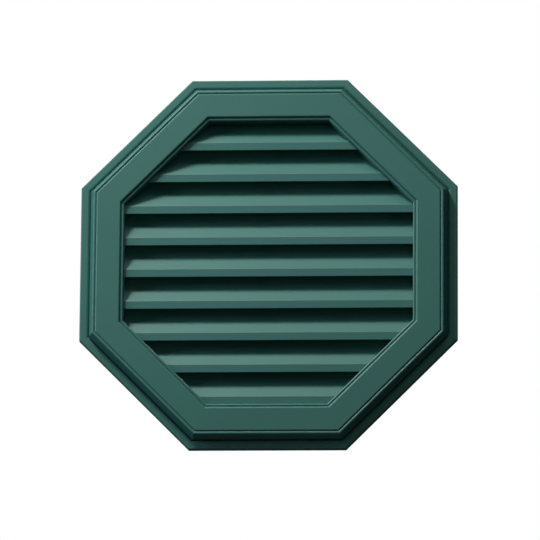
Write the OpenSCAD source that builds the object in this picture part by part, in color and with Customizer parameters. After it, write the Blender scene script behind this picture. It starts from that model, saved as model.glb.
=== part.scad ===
// Octagonal louvred gable vent with a clip-on finish ring.
// The wall face is the plane y = 0. The front looks along -Y and +Z is up.
// The origin is on the back of the nailing flange, in the middle of the bottom side.

/* [Size] */
// Width over two opposite sides of the finish ring
across_flats = 559; // [500:1:640]
// How far the face stands out from the wall
projection = 28; // [25:0.5:36]
// Thickness of the moulded walls
wall = 2.5; // [2:0.1:3]

/* [Finish ring] */
// Width of the ring's front band
ring_band_w = 14; // [12:0.5:18]
// How far the ring's front band stands out from the wall
ring_h = 11; // [10:0.5:14]
// Bevel on the ring's outer front edge
ring_bevel = 1.6; // [0.6:0.1:2]
// Width of the rounded slope on the ring's inner edge
ring_slope_w = 4.5; // [3.5:0.5:6]
// Gap between the ring and the body it slides on
ring_gap = 0.6; // [0.4:0.1:1.6]

/* [Face frame] */
// How far the side of the frame leans in between the ring and the rim
side_lean = 5; // [3:0.5:7]
// Width of the rounded rim outside the fine groove
rim_w = 3.4; // [2.6:0.1:4]
// Width of the fine groove beside the rim
quirk_w = 2.6; // [2:0.1:3.4]
// Depth of the fine groove beside the rim
quirk_d = 1; // [0.6:0.1:1.6]
// Width of the flat face between the two grooves
face_w = 32.7; // [28:0.1:40]
// Radius of the rounded inner edge of the flat face
ovolo_r = 2.4; // [2:0.1:3.6]
// Depth of the fine groove between the rounded edge and the bead
bead_groove_d = 0.6; // [0.4:0.1:1]
// Width of the bead next to the throat
bead_w = 4.2; // [3:0.1:5]

/* [Nailing flange] */
// Width of the flange outside the body, under the finish ring
flange_w = 11; // [9:0.5:11.5]
// Length of a nail slot
slot_len = 20; // [14:1:30]
// Width of a nail slot
slot_w = 4.2; // [3.5:0.1:5]
// Nail slots in each of the eight sides
slots_per_side = 2; // [2:1:4]
// Diameter of the round screw hole at each corner
screw_hole_d = 4.5; // [3.5:0.1:5]

/* [Louvers] */
// How far the louver lips sit behind the bead
lip_setback = 6; // [4:0.5:9]
// Height of the upright lip on the front of a louver
lip_h = 12; // [10:0.5:15]
// Radius of the rounded top edge of a lip
lip_r = 2.5; // [1.5:0.5:5]
// Angle of a louver's blade above level
blade_angle = 55; // [45:1:60]
// Height by which a louver's back edge covers the lip above it
louver_overlap = 1; // [0.5:0.5:4]
// Height of the upright rain stop on a louver's back edge
rain_stop_h = 7; // [5:0.5:10]
// Thickness of a louver
louver_t = 2.4; // [2:0.1:3]

/* [Centre bar] */
// Width of the upright bar that carries the middle of the louvers
bar_w = 18; // [14:1:30]
// Depth of the upright bar
bar_depth = 7; // [5:0.5:9]

/* [Insect screen] */
// Clear depth between the louvers and the screen
back_clear = 8; // [7.5:0.5:14]
// Thickness of the insect mesh
screen_t = 0.6; // [0.5:0.1:1]
// Width of the frame that clamps the screen
screen_frame_w = 12; // [9:0.5:16]
// Thickness of the frame that clamps the screen
screen_frame_t = 2; // [1.5:0.1:3]
// Diameter of the staked pin heads on the screen frame
pin_head_d = 6; // [4:0.5:7]

/* [Insect mesh grid] */
// Openings across the screen, which stand for the far finer mesh
mesh_cells = 12; // [8:1:12]
// Width of the strips between the openings
mesh_strip = 5; // [3:0.5:8]

/* [Hidden] */

green = [0.25, 0.41, 0.38];
charcoal = [0.16, 0.17, 0.17];
sides = 8;
half_turn = 180 / sides;
louvers = 9;

// Share of a louver pitch left above the top louver's lip
top_share = 0.66;
// How far the rounded rim lies behind the flat face
rim_drop = 0.6;
// How far the bead lies behind the flat face, and the step between it and the rounded edge
bead_drop = 2.7;
bead_step = 0.7;
// Radius that takes the sharpness off a moulded edge
soft_edge = 0.8;
// Thickness of the finish ring, and depth of the rounded slope on its inner edge
ring_t = wall - 0.5;
ring_slope_d = 2.6;
// How far the leaning side starts in front of the finish ring
side_foot = 1;
// Where the nail slots run, as a share of the flange's width
slot_place = 0.62;
// How far the centre bar stands in front of the rain stops
bar_proud = 1;
// How far the screen reaches across its frame, as a share of the frame's width
screen_reach = 0.7;
// Where the hollow under the face turns, measured in from the edges of the flat face
hollow_start = 1;
hollow_full = 4;
hollow_end = 3;
// How far the hollow under the rim lies behind the one under the fine groove
rim_hollow_drop = 1;
rib_t = 2;
// Length of a ratchet tooth, and where its root and tip lie in front of the flange
tooth_len = 14;
tooth_root = [0.4, 2.4];
tooth_tip = [0.8, 1.4];
// Border left round the grid of openings in the screen
mesh_border = 1;
pin_head_h = 1.6;
pin_head_taper = 1.6;

// Distances from the centre to the middle of a side, from outside to inside
ring_out = across_flats / 2;
ring_in = ring_out - ring_band_w;
body_out = ring_in - ring_gap;
body_in = body_out - wall;
rim_out = body_out - side_lean;
rim_in = rim_out - rim_w;
groove_mid = rim_in - quirk_w / 2;
face_out = rim_in - quirk_w;
face_in = face_out - face_w;
bead_out = face_in - ovolo_r - bead_step;
throat_in = bead_out - bead_w;
slot_line = body_out + flange_w * slot_place;

// Distances forward from the wall face
rim_f = projection - rim_drop;
groove_f = rim_f - quirk_d;
groove_under = groove_f - 0.7 * wall;
bead_f = projection - bead_drop;
lip_f = bead_f - lip_setback;

// Louvers fill the throat from its floor upwards
pitch = (2 * throat_in - lip_h) / (louvers - 1 + top_share);
louver_rise = pitch - lip_h + louver_overlap;
louver_back = lip_f - louver_rise / tan(blade_angle);
throat_back = louver_back - back_clear;

// Height of the octagon's centre above the origin
centre_h = body_out;

// Points of an arc about a centre, from one angle to another
function arc(cx, cy, r, from, to, steps = 6) =
    [for (i = [0 : steps]) let (a = from + (to - from) * i / steps) [cx + r * cos(a), cy + r * sin(a)]];

// The hollow under the face, as [distance out, distance forward] from the throat to the groove
function panel_underside() = [
    [bead_out, bead_f - bead_groove_d - wall],
    [face_in + hollow_start, bead_f - bead_groove_d - wall],
    [face_in + hollow_full, projection - wall],
    [face_out - hollow_end, projection - wall],
    [groove_mid, groove_under],
];

// The hollow under the rim, from the groove to the body wall
function side_underside() = [[rim_out - wall, groove_under - rim_hollow_drop], [body_in, ring_h]];

// Places a piece drawn for the right-hand side on all eight sides
module each_side(turn = 0) {
    translate([0, 0, centre_h])
        for (side = [0 : sides - 1])
            rotate([0, turn + side * 360 / sides, 0]) children();
}

// Extrudes a section drawn as [distance out, distance forward] over a length of one side
module side_strip(section, length) {
    rotate([180, 0, 0])
        linear_extrude(height = length, center = true) polygon(section);
}

// A ring with mitred corners, from a section drawn as [distance out, distance forward]
module octagon_ring(section) {
    to_corner = 1 / cos(half_turn);
    translate([0, 0, centre_h]) rotate([90, 0, 0]) rotate(half_turn)
        rotate_extrude($fn = sides) polygon([for (p = section) [p[0] * to_corner, p[1]]]);
}

// A solid octagonal plate from one forward distance to another
module octagon_plate(apothem, from_f, to_f) {
    translate([0, -from_f, centre_h]) rotate([90, 0, 0])
        linear_extrude(height = to_f - from_f)
            rotate(half_turn) circle(r = apothem / cos(half_turn), $fn = sides);
}

// The flat face with its rounded inner edge, from the middle of the fine groove to the bead
module face_panel() {
    section = concat(
        [[groove_mid, groove_f]],
        arc(face_out - soft_edge, projection - soft_edge, soft_edge, 30, 90, 4),
        arc(face_in, projection - ovolo_r, ovolo_r, 90, 180),
        [[bead_out, bead_f - bead_groove_d]],
        panel_underside());
    color(green) octagon_ring(section);
}

// The side of the frame: a wall that leans in and ends in a rounded rim beside the fine groove
module frame_side() {
    rim_r = rim_w * 0.6;
    edge = 0.3;
    foot_f = ring_h + side_foot;
    lean = atan(side_lean / (rim_f - rim_r - foot_f));
    section = concat(
        [[body_in, wall], [body_out, wall], [body_out, foot_f]],
        arc(rim_out - rim_r, rim_f - rim_r, rim_r, lean, 90),
        [[rim_in + edge, rim_f], [rim_in, rim_f - edge],
         [groove_mid, groove_f], [groove_mid, groove_under]],
        side_underside());
    color(green) octagon_ring(section);
}

// The duct: the rounded bead in front and the wall that carries the louvers
module throat() {
    bead_r = bead_w / 2;
    flank = asin(1 - bead_groove_d / bead_r);
    section = concat(
        [[throat_in, throat_back], [bead_out, throat_back], [bead_out, bead_f - bead_groove_d]],
        arc(bead_out - bead_r, bead_f - bead_r, bead_r, flank, 180, 8));
    color(green) octagon_ring(section);
}

// The flat rim round the back of the duct that the screen is clamped to
module screen_rim() {
    color(green) octagon_ring([[bead_out, throat_back], [throat_in + screen_frame_w, throat_back],
        [throat_in + screen_frame_w, throat_back + wall], [bead_out, throat_back + wall]]);
}

// The section of a stiffening rib in the hollow behind the face
function rib_section() = concat([[body_in, 0], [bead_out, 0]], panel_underside(), side_underside());

module side_ribs() {
    quarter = bead_out * tan(half_turn) * 0.5;
    color(green) each_side()
        for (place = [-quarter, quarter])
            translate([0, 0, place]) side_strip(rib_section(), rib_t);
}

// Ribs under the mitred corners, stretched to reach from corner to corner
module corner_ribs() {
    stretched = [for (p = rib_section()) [p[0] / cos(half_turn), p[1]]];
    color(green) intersection() {
        each_side(half_turn) side_strip(stretched, rib_t);
        union() {
            octagon_plate(body_in, -1, ring_h);
            octagon_plate(rim_out - wall, ring_h, projection);
        }
    }
}

// The flange behind the finish ring, with nail slots along the sides and a screw hole at each corner
module nailing_flange() {
    side_len = 2 * slot_line * tan(half_turn);
    color(green) difference() {
        octagon_plate(body_out + flange_w, 0, wall);
        octagon_plate(body_in, -wall, 2 * wall);
        each_side()
            for (i = [0 : slots_per_side - 1])
                translate([slot_line, 0, side_len * ((i + 0.5) / slots_per_side - 0.5)]) nail_slot();
        each_side(half_turn)
            translate([slot_line / cos(half_turn), 0, 0]) rotate([90, 0, 0])
                cylinder(h = 4 * wall, d = screw_hole_d, center = true, $fn = 40);
    }
}

module nail_slot() {
    run = slot_len - slot_w;
    for (end = [-1, 1])
        translate([0, 0, end * run / 2]) rotate([90, 0, 0])
            cylinder(h = 4 * wall, d = slot_w, center = true, $fn = 40);
    cube([slot_w, 4 * wall, run], center = true);
}

// Ratchet teeth on the body's side that grip the finish ring's foot
module ratchet_teeth() {
    quarter = body_out * tan(half_turn) * 0.5;
    tooth = [[body_out, wall + tooth_root[0]], [ring_in, wall + tooth_tip[0]],
        [ring_in, wall + tooth_tip[1]], [body_out, wall + tooth_root[1]]];
    color(green) each_side()
        for (place = [-quarter, quarter])
            translate([0, 0, place]) side_strip(tooth, tooth_len);
}

// The clip-on ring that hides the nails and the cut edge of the siding: a channel with a flat front
// band, whose inner edge is rounded down towards the body
module finish_ring() {
    slope_r = (pow(ring_slope_w, 2) + pow(ring_slope_d, 2)) / (2 * ring_slope_d);
    steepest = asin(ring_slope_w / slope_r);
    slope_f = ring_h - ring_slope_d;
    section = concat(
        [[ring_out, 0], [ring_out, ring_h - ring_bevel], [ring_out - ring_bevel, ring_h]],
        arc(ring_in + ring_slope_w, ring_h - slope_r, slope_r, 90, 90 + steepest),
        [[ring_in, wall], [ring_in + ring_t, wall], [ring_in + ring_t, slope_f],
         [ring_in + ring_slope_w, ring_h - ring_t], [ring_out - ring_t, ring_h - ring_t],
         [ring_out - ring_t, 0]]);
    color(green) octagon_ring(section);
}

// A louver's side profile: an upright lip rounded into a climbing blade, and a rain stop behind
function louver_profile() =
    let (climb = tan(blade_angle), under = louver_t / cos(blade_angle),
         lip_top = lip_h - lip_r * tan((90 - blade_angle) / 2), back_z = lip_h + louver_rise)
    concat(
        [[-lip_f + louver_t, 0]],
        arc(-lip_f + soft_edge, soft_edge, soft_edge, 270, 180, 3),
        arc(-lip_f + lip_r, lip_top, lip_r, 180, 90 + blade_angle),
        [[-louver_back - louver_t, back_z - louver_t * climb],
         [-louver_back - louver_t, back_z + rain_stop_h], [-louver_back, back_z + rain_stop_h],
         [-louver_back, back_z - under], [-lip_f + louver_t, lip_h + louver_t * climb - under]]);

// Louvers are numbered from the top, and their ends follow the octagonal throat
module louver(number) {
    floor_z = centre_h - throat_in + (louvers - number) * pitch;
    color(green) intersection() {
        translate([0, 0, floor_z]) rotate([90, 0, 90])
            linear_extrude(height = 2 * ring_out, center = true) polygon(louver_profile());
        octagon_plate(throat_in, throat_back, projection);
    }
}

// The upright bar that ties the back edges of the louvers together, up to the top louver's blade
module centre_bar() {
    front_y = -louver_back - louver_t - bar_proud;
    bar_h = (louvers - 1) * pitch + lip_h + louver_rise - (louver_t + bar_proud) * tan(blade_angle);
    color(green) difference() {
        intersection() {
            translate([-bar_w / 2, front_y, centre_h - throat_in]) cube([bar_w, bar_depth, bar_h]);
            octagon_plate(throat_in, throat_back, projection);
        }
        for (n = [1 : louvers]) louver(n);
    }
}

// The insect screen, with a plain grid of openings in place of the fine mesh
module insect_screen() {
    pitch_across = 2 * throat_in / mesh_cells;
    opening = pitch_across - mesh_strip;
    from_middle = (mesh_cells - 1) / 2;
    color(charcoal) difference() {
        octagon_plate(throat_in + screen_frame_w * screen_reach, throat_back - screen_t, throat_back);
        intersection() {
            octagon_plate(throat_in - mesh_border, throat_back - 2 * screen_t, throat_back + screen_t);
            translate([0, -throat_back, centre_h])
                for (column = [-from_middle : from_middle], row = [-from_middle : from_middle])
                    translate([column * pitch_across, 0, row * pitch_across])
                        cube([opening, 6 * screen_t, opening], center = true);
        }
    }
}

module screen_frame() {
    front_f = throat_back - screen_t;
    plate = [[throat_in, front_f - screen_frame_t], [throat_in + screen_frame_w, front_f - screen_frame_t],
        [throat_in + screen_frame_w, front_f], [throat_in, front_f]];
    color(green) octagon_ring(plate);
}

// Staked pin heads that hold the screen frame, two to a side
module screen_pins() {
    line = throat_in + screen_frame_w / 2;
    quarter = line * tan(half_turn) * 0.5;
    color(green) each_side()
        for (place = [-quarter, quarter])
            translate([line, -(throat_back - screen_t - screen_frame_t), place]) rotate([-90, 0, 0])
                cylinder(h = pin_head_h, d1 = pin_head_d, d2 = pin_head_d - pin_head_taper, $fn = 40);
}

face_panel();
frame_side();
throat();
screen_rim();
side_ribs();
corner_ribs();
nailing_flange();
ratchet_teeth();
finish_ring();
louver(1);  // louver_1
louver(2);  // louver_2
louver(3);  // louver_3
louver(4);  // louver_4
louver(5);  // louver_5
louver(6);  // louver_6
louver(7);  // louver_7
louver(8);  // louver_8
louver(9);  // louver_9
centre_bar();
insect_screen();
screen_frame();
screen_pins();
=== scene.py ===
# %% [markdown]
# # An octagonal gable vent
#
# A gable vent lets air out of an attic. This one is moulded in dark green polypropylene: a raised
# octagonal frame, nine sloping louvers that keep the rain out, and a finish ring that clips on
# round the outside. The solid parts come ready made and in place, so this lesson gives them their
# plastic, lays the insect screen behind them, and sets up the light and the camera.

# %% Load the solid parts
import bpy
import math
from mathutils import Matrix, Vector


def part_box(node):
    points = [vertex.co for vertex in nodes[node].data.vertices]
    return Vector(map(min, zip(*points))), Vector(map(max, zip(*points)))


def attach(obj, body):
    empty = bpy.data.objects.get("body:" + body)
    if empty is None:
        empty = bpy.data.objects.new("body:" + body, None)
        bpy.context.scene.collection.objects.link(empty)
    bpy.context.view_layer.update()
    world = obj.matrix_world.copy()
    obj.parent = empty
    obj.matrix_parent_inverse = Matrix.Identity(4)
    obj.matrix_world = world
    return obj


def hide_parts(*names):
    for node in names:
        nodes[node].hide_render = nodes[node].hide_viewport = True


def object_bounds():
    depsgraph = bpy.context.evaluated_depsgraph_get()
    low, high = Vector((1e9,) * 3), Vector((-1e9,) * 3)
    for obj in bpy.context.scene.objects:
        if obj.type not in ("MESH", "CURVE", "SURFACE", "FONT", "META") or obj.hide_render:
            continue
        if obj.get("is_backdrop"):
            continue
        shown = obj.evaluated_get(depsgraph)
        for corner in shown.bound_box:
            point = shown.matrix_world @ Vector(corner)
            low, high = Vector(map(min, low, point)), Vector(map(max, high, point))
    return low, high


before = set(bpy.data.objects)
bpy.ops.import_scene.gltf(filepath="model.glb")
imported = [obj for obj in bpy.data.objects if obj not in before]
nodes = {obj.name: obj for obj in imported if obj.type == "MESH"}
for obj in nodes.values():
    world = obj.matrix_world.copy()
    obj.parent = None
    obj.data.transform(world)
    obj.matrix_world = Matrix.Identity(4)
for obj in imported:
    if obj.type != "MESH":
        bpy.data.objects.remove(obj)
cad_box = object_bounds()
print("solid parts:", len(nodes))
print("box in mm:", [[round(v * 1000, 1) for v in corner] for corner in cad_box])

# %% [markdown]
# Everything is measured from the parts themselves. The octagon's centre is half way up the finish
# ring, and the wall face is the plane where y is nought, so the front of the vent is at negative y.

# %% Find the octagon's centre
MM = 0.001
ring_low, ring_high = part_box("finish_ring")
centre = Vector((0, 0, (ring_low.z + ring_high.z) / 2))
print("centre height in mm:", round(centre.z / MM, 2))


# %% [markdown]
# Colours are written the way a paint chart gives them, as sRGB hex. Shaders work in linear light,
# so one function turns the hex into linear numbers. A second function empties a node tree, and a
# third adds a shader node, fills in its sockets and wires it up, which keeps each material short
# enough to read.

# %% Colour and node helpers
def linear(hex_colour):
    parts = [int(hex_colour[i:i + 2], 16) / 255 for i in (1, 3, 5)]
    return tuple(p / 12.92 if p <= 0.04045 else ((p + 0.055) / 1.055) ** 2.4 for p in parts) + (1,)


def empty_tree(owner):
    owner.use_nodes = True
    owner.node_tree.nodes.clear()
    return owner.node_tree


def add(tree, kind, values=None, links=None, **settings):
    node = tree.nodes.new(kind)
    for name, value in settings.items():
        setattr(node, name, value)
    for socket, value in (values or {}).items():
        node.inputs[socket].default_value = value
    for socket, source in (links or {}).items():
        tree.links.new(source, node.inputs[socket])
    return node


print("dark green in linear light:", [round(c, 3) for c in linear("#29655C")])

# %% [markdown]
# ## Moulded polypropylene
#
# The body is injection moulded polypropylene, coloured right through. Its mould was fine blasted,
# so the skin is satin, and its highlights are broad and soft. The specular level is three quarters
# in place of the usual half, so that they carry on such a dark green. Plastic that flowed a long
# way cools with very faint lighter and darker clouds, some 60 mm across. The blasted grain is about
# 0.3 mm, drawn here at 0.9 mm so that it shows. A Bevel node softens the shading along every edge,
# because no moulded corner is sharper than about half a millimetre.

# %% Make the polypropylene
CLOUD_WIDTH = 60 * MM
GRAIN_WIDTH = 0.9 * MM
GRAIN_DEPTH = 0.05 * MM
CORNER_RADIUS = 0.45 * MM
ROUGHNESS, ROUGHNESS_SPREAD = 0.50, 0.03

body_plastic = bpy.data.materials.new("moulded_polypropylene")
tree = empty_tree(body_plastic)
place = add(tree, "ShaderNodeTexCoord").outputs["Object"]
clouds = add(tree, "ShaderNodeTexNoise",
             {"Scale": 1 / CLOUD_WIDTH, "Detail": 3.0, "Roughness": 0.5}, {"Vector": place})
# a Mix node keeps a float, a vector and a colour pair, so its colours are sockets 6 and 7
colour = add(tree, "ShaderNodeMix", {6: linear("#27625A"), 7: linear("#2B685E")},
             {"Factor": clouds.outputs["Fac"]}, data_type="RGBA")
grain = add(tree, "ShaderNodeTexNoise",
            {"Scale": 1 / GRAIN_WIDTH, "Detail": 2.0, "Roughness": 0.6}, {"Vector": place})
edges = add(tree, "ShaderNodeBevel", {"Radius": CORNER_RADIUS}, samples=4)
skin = add(tree, "ShaderNodeBump", {"Strength": 0.06, "Distance": GRAIN_DEPTH},
           {"Height": grain.outputs["Fac"], "Normal": edges.outputs["Normal"]})
gloss = add(tree, "ShaderNodeMapRange",
            {"From Min": 0.3, "From Max": 0.7, "To Min": ROUGHNESS - ROUGHNESS_SPREAD,
             "To Max": ROUGHNESS + ROUGHNESS_SPREAD}, {"Value": grain.outputs["Fac"]})
shader = add(tree, "ShaderNodeBsdfPrincipled", {"IOR": 1.49, "Specular IOR Level": 0.75},
             {"Base Color": colour.outputs[2], "Roughness": gloss.outputs["Result"],
              "Normal": skin.outputs["Normal"]})
add(tree, "ShaderNodeOutputMaterial", links={"Surface": shader.outputs["BSDF"]})
print("nodes in the polypropylene:", len(tree.nodes))

# %% [markdown]
# Every solid part but the insect screen is moulded from the same coloured plastic. The parts keep
# their meshes and their places, and only their material changes.

# %% Give the moulded parts their plastic
for name, node in nodes.items():
    if name != "insect_screen":
        node.data.materials.clear()
        node.data.materials.append(body_plastic)
print("parts in polypropylene:", len(nodes) - 1)

# %% [markdown]
# ## Insect screen
#
# The screen is glass-fibre yarn coated in charcoal vinyl, with sixteen strands to the inch. The
# coating fuses where strands cross, so they lie straight and need no weaving. The plain sheet that
# stands for the screen gives the size of the opening, and so how many strands fit each way.

# %% Measure the opening
STRAND = 0.28 * MM
PITCH = 25.4 * MM / 16
screen_low, screen_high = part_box("insect_screen")
screen_mid = (screen_low + screen_high) / 2
reach = (screen_high.x - screen_low.x) / 2
strand_count = int(2 * reach / PITCH)
print("strands each way:", strand_count)


# %% [markdown]
# One strand is made as a slim six-sided rod, an Array modifier repeats it across the opening, and
# bisecting the whole row along the octagon's sides trims every strand to length at once. The trim
# stops just short of the sheet's edge. Bisect takes points that are closer to its plane than the
# threshold as lying on it. The usual 0.1 mm would spoil rods this thin, so it is set far smaller.

# %% Make a row of strands
SIDES = 8
TRIM = 0.1 * MM
BISECT_THRESHOLD = 0.001 * MM


def strands(name, turn, depth):
    """A row of strands: upright if turn is nought, level if it is 90 degrees."""
    bpy.ops.object.select_all(action="DESELECT")
    across = Matrix.Rotation(turn, 3, "Y")
    to_first = across @ Vector((-(strand_count - 1) / 2 * PITCH, 0, 0))
    bpy.ops.mesh.primitive_cylinder_add(vertices=6, radius=STRAND / 2, depth=2 * reach,
                                        location=screen_mid + to_first + Vector((0, depth, 0)),
                                        rotation=(0, turn, 0))
    row = bpy.context.object
    row.name = name
    bpy.ops.object.transform_apply(location=True, rotation=True, scale=True)
    repeat = row.modifiers.new("repeat", "ARRAY")
    repeat.count = strand_count
    repeat.use_relative_offset = False
    repeat.use_constant_offset = True
    repeat.constant_offset_displace = across @ Vector((PITCH, 0, 0))
    bpy.ops.object.modifier_apply(modifier=repeat.name)
    bpy.ops.object.mode_set(mode="EDIT")
    for side in range(SIDES):
        angle = side * math.tau / SIDES
        outward = Vector((math.cos(angle), 0, math.sin(angle)))
        bpy.ops.mesh.select_all(action="SELECT")
        bpy.ops.mesh.bisect(plane_co=screen_mid + outward * (reach - TRIM), plane_no=outward,
                            threshold=BISECT_THRESHOLD, clear_outer=True)
    # the cuts leave every strand open at both ends, so each hole gets a cap
    bpy.ops.mesh.select_all(action="SELECT")
    bpy.ops.mesh.fill_holes(sides=0)
    bpy.ops.object.mode_set(mode="OBJECT")
    print(name, "faces:", len(row.data.polygons))
    return row


# %% [markdown]
# The level strands lie behind the upright ones and touch them where they cross. Both rows are then
# joined into one piece.

# %% Lay both rows
upright = strands("screen_strands", 0, -STRAND / 2)
level = strands("screen_strands_level", math.pi / 2, STRAND / 2)
bpy.ops.object.select_all(action="DESELECT")
level.select_set(True)
upright.select_set(True)
bpy.context.view_layer.objects.active = upright
bpy.ops.object.join()
screen = bpy.context.object
print("strand faces:", len(screen.data.polygons))

# %% [markdown]
# Vinyl coating is softer and a little shinier than the moulded parts. The strands are far too thin
# to show any pattern of their own, so only their shade wanders slightly from place to place.

# %% Coat the strands in vinyl
DRIFT_WIDTH = 25 * MM
vinyl = bpy.data.materials.new("vinyl_coated_glass_fibre")
tree = empty_tree(vinyl)
drift = add(tree, "ShaderNodeTexNoise", {"Scale": 1 / DRIFT_WIDTH, "Detail": 2.0},
            {"Vector": add(tree, "ShaderNodeTexCoord").outputs["Object"]})
shade = add(tree, "ShaderNodeValToRGB", links={"Fac": drift.outputs["Fac"]})
shade.color_ramp.elements[0].color = linear("#1E2020")
shade.color_ramp.elements[1].color = linear("#2A2C2C")
coat = add(tree, "ShaderNodeBsdfPrincipled", {"IOR": 1.53, "Roughness": 0.45},
           {"Base Color": shade.outputs["Color"]})
add(tree, "ShaderNodeOutputMaterial", links={"Surface": coat.outputs["BSDF"]})
screen.data.materials.clear()
screen.data.materials.append(vinyl)
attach(screen, "root")
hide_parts("insect_screen")
print("screen replaces the plain sheet")

# %% [markdown]
# ## Floor
#
# The vent belongs high on a gable, so the floor lies eight metres below it, in matt near-white
# paint. Paint that far from the lamps would look dull, so a Light Path node swaps it for an even
# white glow wherever the camera looks straight at it. The sky behind is the same white, so the
# floor's far edge doesn't show. Light bouncing off the floor still meets the paint, and so do
# reflections, because a white glow in them would wash out such a dark satin green.

# %% Lay the floor
FLOOR_HEIGHT = -8
FLOOR_SIZE = 150
WHITE = linear("#FFFFFF")
bpy.ops.object.select_all(action="DESELECT")
bpy.ops.mesh.primitive_plane_add(size=FLOOR_SIZE, location=(0, 0, FLOOR_HEIGHT))
floor = bpy.context.object
floor.name = "floor"
paint = bpy.data.materials.new("pale_floor_paint")
tree = empty_tree(paint)
matt = add(tree, "ShaderNodeBsdfDiffuse", {"Color": linear("#F0F0EE")})
glow = add(tree, "ShaderNodeEmission", {"Color": WHITE, "Strength": 1.0})
direct = add(tree, "ShaderNodeLightPath").outputs["Is Camera Ray"]
both = add(tree, "ShaderNodeMixShader",
           links={0: direct, 1: matt.outputs["BSDF"], 2: glow.outputs["Emission"]})
add(tree, "ShaderNodeOutputMaterial", links={"Surface": both.outputs["Shader"]})
floor.data.materials.append(paint)
floor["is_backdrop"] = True
print("floor height in metres:", floor.location.z)

# %% [markdown]
# ## Sky
#
# The sky works the same way: plain white to the camera, even through something clear, and almost
# dark to everything else. That leaves the lighting to the lamps, and the gaps between the louvers
# stay deep.

# %% Set the sky
world = bpy.data.worlds.new("plain_sky")
bpy.context.scene.world = world
tree = empty_tree(world)
ray = add(tree, "ShaderNodeLightPath")
seen = add(tree, "ShaderNodeMath", operation="MAXIMUM",
           links={0: ray.outputs["Is Camera Ray"], 1: ray.outputs["Is Transmission Ray"]})
fill = add(tree, "ShaderNodeBackground", {"Color": linear("#F4F8FA"), "Strength": 0.01})
white = add(tree, "ShaderNodeBackground", {"Color": WHITE, "Strength": 1.0})
mixed = add(tree, "ShaderNodeMixShader",
            links={0: seen.outputs["Value"], 1: fill.outputs["Background"],
                   2: white.outputs["Background"]})
add(tree, "ShaderNodeOutputWorld", links={"Surface": mixed.outputs["Shader"]})
print("light from the sky:", round(fill.inputs["Strength"].default_value, 3))


# %% [markdown]
# ## Lamps
#
# Five round softboxes stand round the vent. Each is given its direction from the octagon's centre,
# its distance and width in metres, and its power in watts. The key lamp, high on the left, is
# small, so the shadows under the lips and beside the frame have clear edges. A broad, slightly cool
# lamp fills in from the left, and a weak one lifts the tops of the louvers. The widest stands in
# front to open the shadows, and is hidden from glossy reflections so that it leaves no sheen. The
# last one, behind, shows the back.

# %% Hang the lamps
def softbox(name, direction, distance, size, watts, tint="#FFFFFF"):
    lamp = bpy.data.lights.new(name, "AREA")
    lamp.shape = "DISK"
    lamp.size = size
    lamp.energy = watts
    lamp.color = linear(tint)[:3]
    holder = bpy.data.objects.new(name, lamp)
    bpy.context.scene.collection.objects.link(holder)
    away = Vector(direction).normalized()
    holder.location = centre + away * distance
    holder.rotation_euler = away.to_track_quat("Z", "Y").to_euler()
    return holder


key = softbox("key_lamp", (-1.0, -1.0, 1.7), 2.5, 0.6, 62)
side = softbox("side_lamp", (-1.0, -0.35, 0.3), 3.5, 1.5, 56, "#EEF5FF")
top = softbox("top_lamp", (0.2, -0.6, 1.0), 2.6, 1.6, 13)
front = softbox("front_lamp", (0.1, -1.0, 0.1), 3.5, 2.5, 11)
front.visible_glossy = False
behind = softbox("back_lamp", (0.3, 1.0, 1.2), 3.5, 1.5, 65)
for lamp in (key, side, top, front, behind):
    print(lamp.name, "watts:", lamp.data.energy, "at", [round(v, 2) for v in lamp.location])

# %% [markdown]
# ## Camera
#
# The vent is seen from slightly below and slightly to the right, through a long lens from seven and
# a half metres away, so its far sides hardly shrink. The camera aims a little below and to the
# right of the octagon's centre and is rolled by half a degree.

# %% Place the camera
DISTANCE = 7.5
AIM_RIGHT_MM, AIM_DOWN_MM = 1.5, 7.5
turn, lift, roll = math.radians(3.5), math.radians(-12.5), math.radians(0.44)
lens = bpy.data.cameras.new("camera")
lens.lens = 337.7
lens.sensor_width = 36
lens.clip_end = 200
camera = bpy.data.objects.new("camera", lens)
bpy.context.scene.collection.objects.link(camera)
bpy.context.scene.camera = camera
back = Vector((math.sin(turn) * math.cos(lift), -math.cos(turn) * math.cos(lift), math.sin(lift)))
look = (-back).to_track_quat("-Z", "Y")
right, up = look @ Vector((1, 0, 0)), look @ Vector((0, 1, 0))
aim = centre + right * AIM_RIGHT_MM * MM - up * AIM_DOWN_MM * MM
camera.location = aim + back * DISTANCE
camera.rotation_mode = "QUATERNION"
camera.rotation_quaternion = look @ Matrix.Rotation(roll, 3, "Z").to_quaternion()
bpy.context.scene.view_settings.view_transform = "Standard"
print("camera at", [round(v, 3) for v in camera.location])

# %% [markdown]
# The box of the dressed vent is set beside the box of the solid parts, and how far it grows is
# printed. The dressed vent may not grow past the solid parts.

# %% Compare the boxes and finish
looks_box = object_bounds()
growth = [[round((a - b) / MM, 2) for a, b in zip(c, d)] for c, d in zip(looks_box, cad_box)]
print("growth in mm:", growth)
